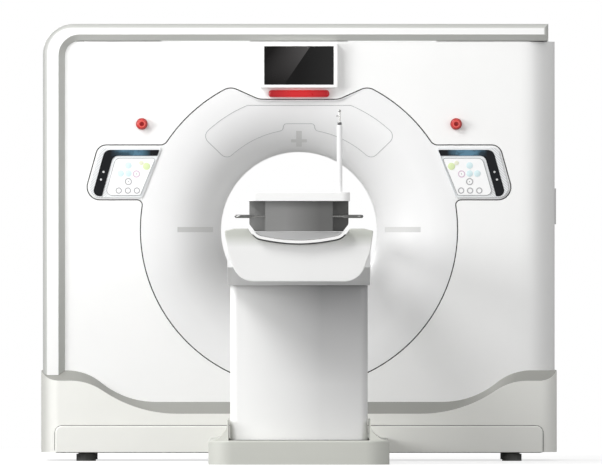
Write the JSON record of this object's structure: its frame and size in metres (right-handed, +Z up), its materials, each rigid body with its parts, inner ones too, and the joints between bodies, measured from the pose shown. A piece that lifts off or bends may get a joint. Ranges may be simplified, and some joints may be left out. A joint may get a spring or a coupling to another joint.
{
  "type": "ct scanner",
  "caption": "Whole-body CT scanner: ring gantry with rotating scan unit, raised roof band and waved base, and a lifting patient table with sliding cradle.",
  "frame": {"origin": "on the floor, in the middle of the scanner's width and length", "axes": "+X to the right seen from the table's foot, +Y from the table into the bore, +Z up"},
  "size_m": [2.3, 3.25, 1.949],
  "materials": {
    "cover_white": "satin moulded white",
    "wrap_white": "satin moulded white, grey bevel",
    "grip_grey": "fine grain",
    "fascia_white": "satin moulded white",
    "service_panel_white": "satin moulded white",
    "window_grey": "frosted",
    "tunnel_white": "smooth",
    "scan_window": "translucent film",
    "base_warm_grey": "fine grain",
    "kick_grey": "fine grain",
    "monitor_white": "satin",
    "screen_black": "polished",
    "lamp_red": "translucent red",
    "collar_grey": "satin",
    "estop_red": "gloss",
    "bezel_silver": "satin silver",
    "display_black": "polished",
    "keypad_white": "membrane",
    "frame_paint": "powder coat",
    "foot_rubber": "matte",
    "stator_iron": "painted casting",
    "bearing_steel": "ground",
    "rotor_aluminium": "machined",
    "slip_ring_brass": "turned",
    "tube_housing": "enamel",
    "detector_paint": "enamel",
    "brush_plastic": "moulded",
    "motor_paint": "enamel",
    "pulley_steel": "turned",
    "belt_rubber": "matte",
    "table_base_grey": "fine grain",
    "plate_steel": "powder coat",
    "column_steel": "ground",
    "table_white": "satin",
    "nose_white": "satin",
    "rail_plastic": "satin",
    "cradle_white": "gloss laminate",
    "pad_grey": "wipe-clean cover",
    "block_grey": "satin grey",
    "tray_white": "satin",
    "handle_chrome": "polished",
    "pole_white": "enamel",
    "pole_steel": "polished"
  },
  "bodies": {
    "gantry": {"front_cover": "cover_white", "right_side_cover": "cover_white", "right_side_grip": "grip_grey", "roof_wrap_cover": "wrap_white", "rear_cover": "cover_white", "bore_fascia": "fascia_white", "fascia_service_panel": "service_panel_white", "positioning_windows_side": "window_grey", "positioning_window_top": "window_grey", "bore_tunnels": "tunnel_white", "scan_window_ring": "scan_window", "base_front_cover": "base_warm_grey", "base_kick_panel": "kick_grey", "base_left_cover": "base_warm_grey", "base_right_cover": "base_warm_grey", "base_rear_cover": "base_warm_grey", "monitor_housing": "monitor_white", "monitor_screen": "screen_black", "status_lamp_lens": "lamp_red", "estop_collars": "collar_grey", "panel_left_bezel": "bezel_silver", "panel_right_bezel": "bezel_silver", "panel_displays": "display_black", "panel_left_keypad": "keypad_white", "panel_right_keypad": "keypad_white", "base_frame": "frame_paint", "levelling_feet": "foot_rubber", "cover_posts": "frame_paint", "stator_frame": "stator_iron", "main_bearing_race": "bearing_steel", "brush_block": "brush_plastic", "drive_motor": "motor_paint", "drive_belt": "belt_rubber", "fan_frame": "brush_plastic", "table_base_cover": "table_base_grey", "table_base_plate": "plate_steel", "lift_column_outer": "column_steel"},
    "scan_rotor": {"rotor_drum": "rotor_aluminium", "slip_ring": "slip_ring_brass", "xray_tube": "tube_housing", "beam_collimator": "tube_housing", "detector_arc": "detector_paint", "high_voltage_tank": "detector_paint", "rotor_counterweight": "rotor_aluminium"},
    "pulley": {"motor_pulley": "pulley_steel"},
    "fan": {"fan_rotor": "brush_plastic"},
    "pedestal": {"pedestal_cover": "table_white"},
    "table_head": {"table_head_cover": "table_white", "cradle_support": "rail_plastic", "table_nose_cover": "nose_white", "lift_column_inner": "column_steel"},
    "cradle": {"cradle": "cradle_white", "cradle_pad": "pad_grey", "cradle_end_block": "block_grey", "cradle_tray": "tray_white", "cradle_handles": "handle_chrome", "pole_tube": "pole_white"},
    "pole": {"pole_rod": "pole_steel"},
    "estop_left": {"estop_left_button": "estop_red"},
    "estop_right": {"estop_right_button": "estop_red"}
  },
  "joints": [
    {"name": "rotor_spin", "type": "hinge", "parent": "gantry", "child": "scan_rotor", "pos_m": [0, 1.175, 1.032], "axis": [0, 1, 0], "continuous": true},
    {"name": "pulley_spin", "type": "hinge", "parent": "gantry", "child": "pulley", "pos_m": [0.64348, 1.201, 0.49206], "axis": [0, 1, 0], "continuous": true},
    {"name": "fan_spin", "type": "hinge", "parent": "gantry", "child": "fan", "pos_m": [-0.3, 1.485, 1.91], "axis": [0, 0, 1], "continuous": true},
    {"name": "table_lift", "type": "slide", "parent": "gantry", "child": "table_head", "axis": [0, 0, 1], "range_m": [-0.2, 0]},
    {"name": "pedestal_drop", "type": "slide", "parent": "gantry", "child": "pedestal", "axis": [0, 0, 1], "range_m": [-0.086, 0]},
    {"name": "cradle_slide", "type": "slide", "parent": "table_head", "child": "cradle", "axis": [0, 1, 0], "range_m": [0, 1.6]},
    {"name": "pole_extend", "type": "slide", "parent": "cradle", "child": "pole", "axis": [0, 0, 1], "range_m": [0, 0.25]},
    {"name": "estop_left_press", "type": "slide", "parent": "gantry", "child": "estop_left", "axis": [0, 1, 0], "range_m": [0, 0.007], "stiffness_N_per_m": 1500},
    {"name": "estop_right_press", "type": "slide", "parent": "gantry", "child": "estop_right", "axis": [0, 1, 0], "range_m": [0, 0.007], "stiffness_N_per_m": 1500}
  ],
  "couplings": [
    {"joint": "pulley_spin", "follows": "rotor_spin", "ratio": 14.24},
    {"joint": "pedestal_drop", "follows": "table_lift", "ratio": 0.42}
  ]
}
